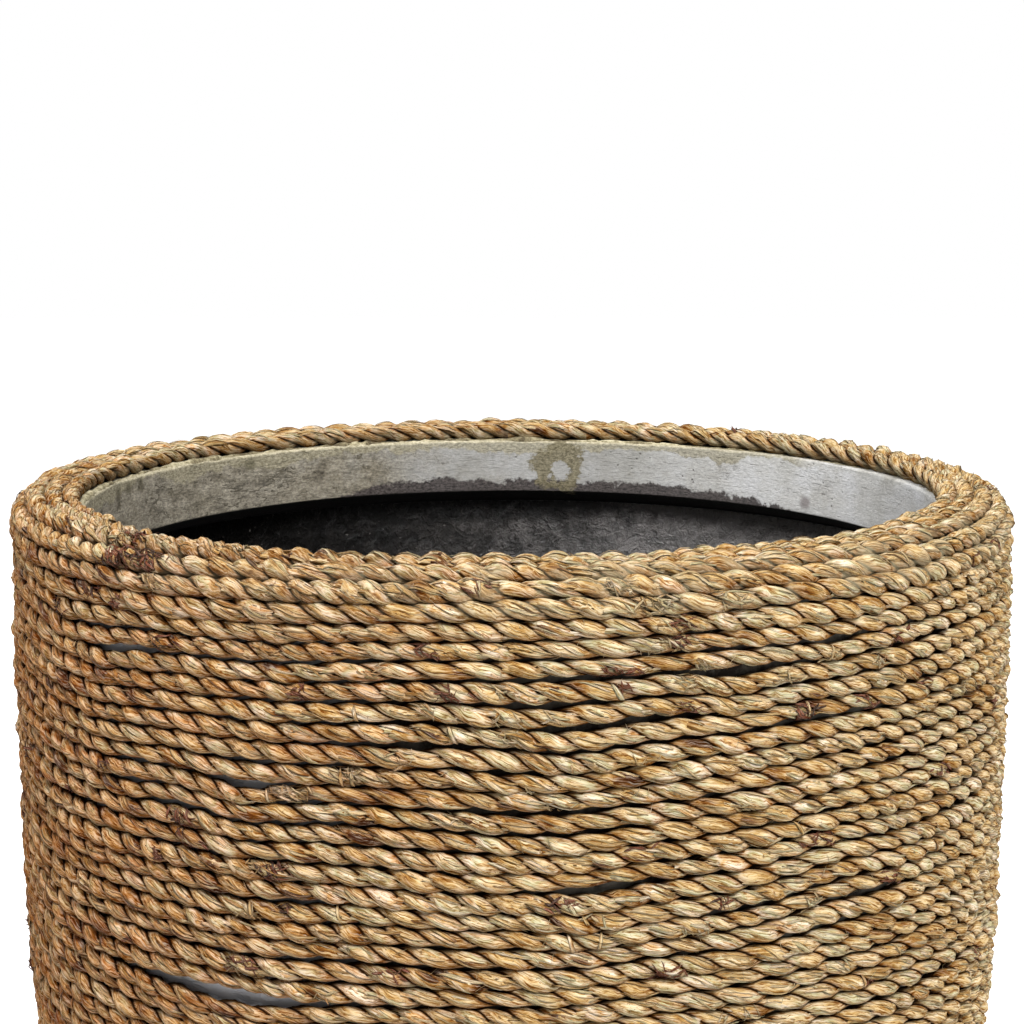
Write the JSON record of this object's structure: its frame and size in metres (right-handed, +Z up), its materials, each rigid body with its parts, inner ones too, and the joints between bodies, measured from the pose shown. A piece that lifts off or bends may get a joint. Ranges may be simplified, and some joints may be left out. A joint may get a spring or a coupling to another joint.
{
  "type": "straw planter",
  "caption": "Round open planter: thick-lipped fibre-cement pot, black sealed inside, wrapped from mouth to foot in wound straw rope.",
  "frame": {"origin": "centre of the flat base, on the surface that the planter stands on", "axes": "+Z up along the pot's axis; -Y is the side nearest the viewer in the picture, and +X is to that viewer's right"},
  "size_m": [0.47, 0.47, 0.4],
  "materials": {
    "cement": "matte, trowelled and lightly scratched",
    "sealer": "brushed on, satin",
    "straw": "dry twisted grass"
  },
  "bodies": {
    "root": {"cement_pot": "cement", "waterproof_coating": "sealer", "rim_rope": "straw", "upper_wall_rope": "straw", "lower_wall_rope": "straw"}
  },
  "joints": []
}
